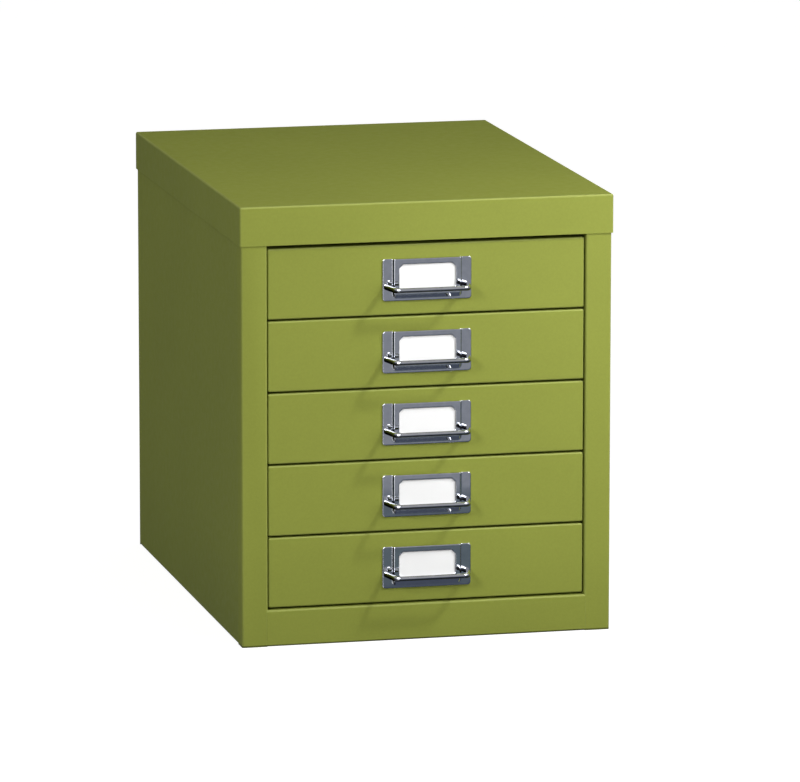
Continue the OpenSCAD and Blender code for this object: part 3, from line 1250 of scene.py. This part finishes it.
@dataclass(frozen=True)
class LabelCard:
    """Blank card that stands behind the window, a little bowed."""

    gauge: float = 0.3 * MM
    edge: float = 0.04 * MM
    crown: float = 0.08 * MM
    steps: int = 12

    def mesh(self, node: str) -> Mesh:
        """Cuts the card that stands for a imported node.

        Args:
            node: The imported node.

        Returns:
            The card's mesh.
        """
        low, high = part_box(node)
        sheet = FoldedSheet(self.gauge, self.gauge, self.edge)
        middle = low.y + self.gauge / 2
        sheet.lay([[Vector((low.x + (high.x - low.x) * share,
                            middle + self.crown * (2 * share - 1) ** 2, z))
                    for share in shares_of(self.steps)] for z in (low.z, high.z)])
        return sheet.mesh()


@dataclass(frozen=True)
class Drawer:
    """One drawer: its folded front, tray, back wall, card holder, bow, clips and card."""

    number: int
    plate: HolderPlate = field(default_factory=HolderPlate)
    bow: Bow = field(default_factory=Bow)
    clips: Clips = field(default_factory=Clips)
    card: LabelCard = field(default_factory=LabelCard)

    def node(self, part: str) -> str:
        """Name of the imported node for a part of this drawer."""
        return f"{part}_{self.number}"

    def front(self) -> Mesh:
        """Folded front with its four edges turned back.

        Returns:
            The front's mesh.
        """
        sheet = FRONT_STOCK.sheet()
        rounded_pan(sheet, *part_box(self.node("drawer_front")), Along.Y)
        return sheet.mesh()

    def back(self) -> Mesh:
        """Back wall with the flange that lies on the floor of the tray.

        Returns:
            The wall's mesh.
        """
        low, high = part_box(self.node("drawer_back"))
        sheet = TRAY_STOCK.sheet()
        half = sheet.gauge / 2
        section = Section.folded([(low.y, low.z + half), (high.y - half, low.z + half),
                                  (high.y - half, high.z)], sheet.bend)
        sheet.draw(section, Along.X, [low.x, high.x])
        return sheet.mesh()

    def build(self, shop: PaintShop) -> None:
        """Builds and finishes every piece of the drawer.

        Args:
            shop: Where the pieces are finished.
        """
        plate_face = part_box(self.node("drawer_front"))[0].y - self.plate.gauge
        pieces = [
            (self.front(), "front_panel", shop.coat, "drawer", "drawer_front"),
            (Tray(self.number).mesh(), "tray_sheet", shop.coat, "drawer", "drawer_tray"),
            (self.back(), "tray_back", shop.coat, "drawer", "drawer_back"),
            (self.plate.mesh(self.node("handle_plate")), "holder_plate", shop.plating,
             "drawer", "handle_plate"),
            (self.bow.mesh(self.node("handle_bow"), plate_face), "wire_bow", shop.wire,
             "drawer", "handle_bow"),
            (self.clips.mesh(self.node("bow_clips")), "spring_clips", shop.zinc, "drawer",
             "bow_clips"),
            (self.card.mesh(self.node("label_card")), "blank_card", shop.card, "card",
             "label_card"),
        ]
        for mesh, name, finish, body, part in pieces:
            shop.dress(mesh, self.node(name), finish, self.node(body), self.node(part))


# ------------------------------------------------------------------ studio


def grey(shade: float) -> tuple[float, float, float, float]:
    """A grey of the given lightness, with its alpha."""
    return (shade, shade, shade, 1.0)


@dataclass(frozen=True)
class SoftBox:
    """A square soft lamp that faces the cabinet."""

    name: str
    place: Colour
    size: float
    watts: float
    mirrored: bool = True
    aim: Colour = (0.0, -0.18, 0.20)

    def hang(self) -> None:
        """Hangs the lamp, unseen by the camera."""
        lamp = bpy.data.lights.new(self.name, "AREA")
        lamp.shape = "SQUARE"
        lamp.size = self.size
        lamp.energy = self.watts
        stand = bpy.data.objects.new(self.name, lamp)
        stand.location = self.place
        toward = Vector(self.aim) - Vector(self.place)
        stand.rotation_euler = toward.to_track_quat("-Z", "Y").to_euler()
        stand.visible_camera = False
        stand.visible_glossy = self.mirrored
        bpy.context.scene.collection.objects.link(stand)


@dataclass(frozen=True)
class Reflector:
    """A bright round patch of the sky that only reflections show."""

    toward: Colour
    reach: float
    strength: float
    blur: float = 4.0

    def share(self, wiring: Wiring, direction: NodeSocket) -> NodeSocket:
        """1 inside the patch and 0 outside it, by the direction that is looked in."""
        edges = [math.cos(math.radians(self.reach + wider)) for wider in (self.blur, 0.0)]
        return wiring.facing(direction, self.toward, 0.0, 1.0, *edges)


@dataclass(frozen=True)
class Floor:
    """Pale floor that keeps a faint shadow.

    Reflections see painted shade on it, dim close to the cabinet and grey further out, and a
    painted bright patch to the front left, so that bright metal has something to show.
    """

    half: float = 12.0
    bounce: float = 0.28
    seen: float = 0.35
    glow: float = 0.88
    cabinet_front: float = -0.18
    # painted shade that reflections see, by the distance ahead of the cabinet
    shades: tuple[tuple[float, Colour], ...] = (
        (0.14, (0.085, 0.10, 0.135)), (0.22, (0.14, 0.175, 0.19)),
        (0.50, (0.145, 0.175, 0.20)), (0.545, (0.32, 0.335, 0.365)))
    # painted bright patch that reflections see to the front left
    pale: float = 1.4
    pale_slant: float = 0.42
    pale_reach: float = 1.3
    pale_blur: float = 0.10

    def reflected(self, wiring: Wiring) -> NodeSocket:
        """Light that reflections take from the floor, by place.

        Args:
            wiring: The floor material's wiring.

        Returns:
            The shader.
        """
        axes = wiring.axes(wiring.add("TexCoord", {})["Object"])
        ahead = wiring.span(axes["Y"], 0.0, 1.0, self.cabinet_front, self.cabinet_front - 1.0)
        shade = wiring.add("ValToRGB", {"Fac": ahead})["Color"]
        stops = shade.node.color_ramp.elements
        while len(stops) < len(self.shades):
            stops.new(1.0)
        for stop, (reach, colour) in zip(stops, self.shades):
            stop.position = reach
            stop.color = (*colour, 1.0)
        leaning = wiring.combine("DIVIDE", axes["X"],
                                 wiring.combine("MAXIMUM", ahead, self.pale_blur))
        past = wiring.span(leaning, 0.0, 1.0, -self.pale_slant, -self.pale_slant - self.pale_blur)
        short = wiring.span(leaning, 0.0, 1.0, -self.pale_reach - self.pale_blur,
                            -self.pale_reach)
        light = wiring.tint(wiring.combine("MULTIPLY", past, short), shade, grey(self.pale))
        return wiring.add("Emission", {"Color": light})["Emission"]

    def lay(self) -> None:
        """Lays the floor."""
        half = self.half
        mesh = bpy.data.meshes.new("studio_floor")
        mesh.from_pydata([(-half, -half, 0), (half, -half, 0), (half, half, 0),
                          (-half, half, 0)], [], [(0, 1, 2, 3)])
        material = bpy.data.materials.new("studio_floor")
        material.use_nodes = True
        wiring = Wiring(material.node_tree)
        bounce, shadowed = (wiring.add("BsdfDiffuse", {"Color": grey(shade)})["BSDF"]
                            for shade in (self.bounce, self.seen))
        glow = wiring.add("Emission", {"Strength": self.glow})["Emission"]
        seen = wiring.add("AddShader", {0: shadowed, 1: glow})["Shader"]
        unseen = wiring.add("MixShader", {0: wiring.rays("Is Glossy Ray"), 1: bounce,
                                          2: self.reflected(wiring)})["Shader"]
        surface = wiring.add("MixShader", {
            0: wiring.rays("Is Camera Ray", "Is Transmission Ray"), 1: unseen,
            2: seen})["Shader"]
        wiring.add("OutputMaterial", {"Surface": surface})
        mesh.materials.append(material)
        floor = bpy.data.objects.new("studio_floor", mesh)
        bpy.context.scene.collection.objects.link(floor)


@dataclass(frozen=True)
class Studio:
    """Floor, sky, soft lamps and the camera."""

    camera_place: Colour = (-1.17853, -4.99104, 1.11809)
    yaw: float = 13.527
    pitch: float = -10.673
    roll: float = -0.044
    lens: float = 311.48
    sensor: float = 36.0
    sight: float = 60.0
    sky: float = 0.338
    gloss_in_front: float = 0.46
    gloss_behind: float = 0.03
    gloss_turn: float = 0.6
    patches: tuple[Reflector, ...] = (Reflector((-0.42, -0.72, 0.55), 19.0, 6.0),
                                      Reflector((0.583, -0.414, 0.70), 14.0, 8.0))
    lamps: tuple[SoftBox, ...] = (
        SoftBox("key_lamp", (0.512, -0.562, 0.882), 0.08, 4.2),
        SoftBox("side_lamp", (0.26, -0.6, 0.375), 0.42, 1.4, mirrored=False),
        SoftBox("fill_lamp", (-1.55, -2.12, 1.27), 0.52, 20.9))

    def camera(self) -> None:
        """Sets up the camera."""
        data = bpy.data.cameras.new("camera")
        data.lens, data.sensor_width, data.clip_end = self.lens, self.sensor, self.sight
        camera = bpy.data.objects.new("camera", data)
        camera.location = self.camera_place
        camera.rotation_euler = [math.radians(angle)
                                 for angle in (90 + self.pitch, self.roll, -self.yaw)]
        bpy.context.scene.collection.objects.link(camera)
        bpy.context.scene.camera = camera

    def world(self) -> None:
        """Sets an even sky, white to the camera, with bright patches in reflections."""
        world = bpy.data.worlds.new("studio")
        world.use_nodes = True
        wiring = Wiring(world.node_tree)
        direction = wiring.add("TexCoord", {})["Generated"]
        gloss = wiring.span(wiring.axes(direction)["Y"], self.gloss_in_front,
                            self.gloss_behind, 0.0, self.gloss_turn)
        for patch in self.patches:
            gloss = wiring.span(patch.share(wiring, direction), gloss, patch.strength, 0.0, 1.0)
        light = wiring.span(wiring.rays("Is Glossy Ray"), self.sky, gloss, 0.0, 1.0)
        strength = wiring.span(wiring.rays("Is Camera Ray", "Is Transmission Ray"),
                               light, 1.0, 0.0, 1.0)
        sky = wiring.add("Background", {"Color": grey(1.0), "Strength": strength})["Background"]
        wiring.add("OutputWorld", {"Surface": sky})
        bpy.context.scene.world = world

    def build(self) -> None:
        """Sets the whole studio and the plain view transform."""
        bpy.context.scene.view_settings.view_transform = "Standard"
        self.camera()
        self.world()
        Floor().lay()
        for lamp in self.lamps:
            lamp.hang()


def main() -> None:
    """Builds the studio and the cabinet."""
    logging.basicConfig(level=logging.INFO, format="%(name)s: %(message)s")
    Studio().build()
    shop = PaintShop()
    slides = [joint for joint in frame["joints"] if joint["name"].startswith("drawer_slide")]
    Carcass().build(shop, len(slides))
    for number in range(1, len(slides) + 1):
        Drawer(number).build(shop)


if __name__ == "__main__":
    main()
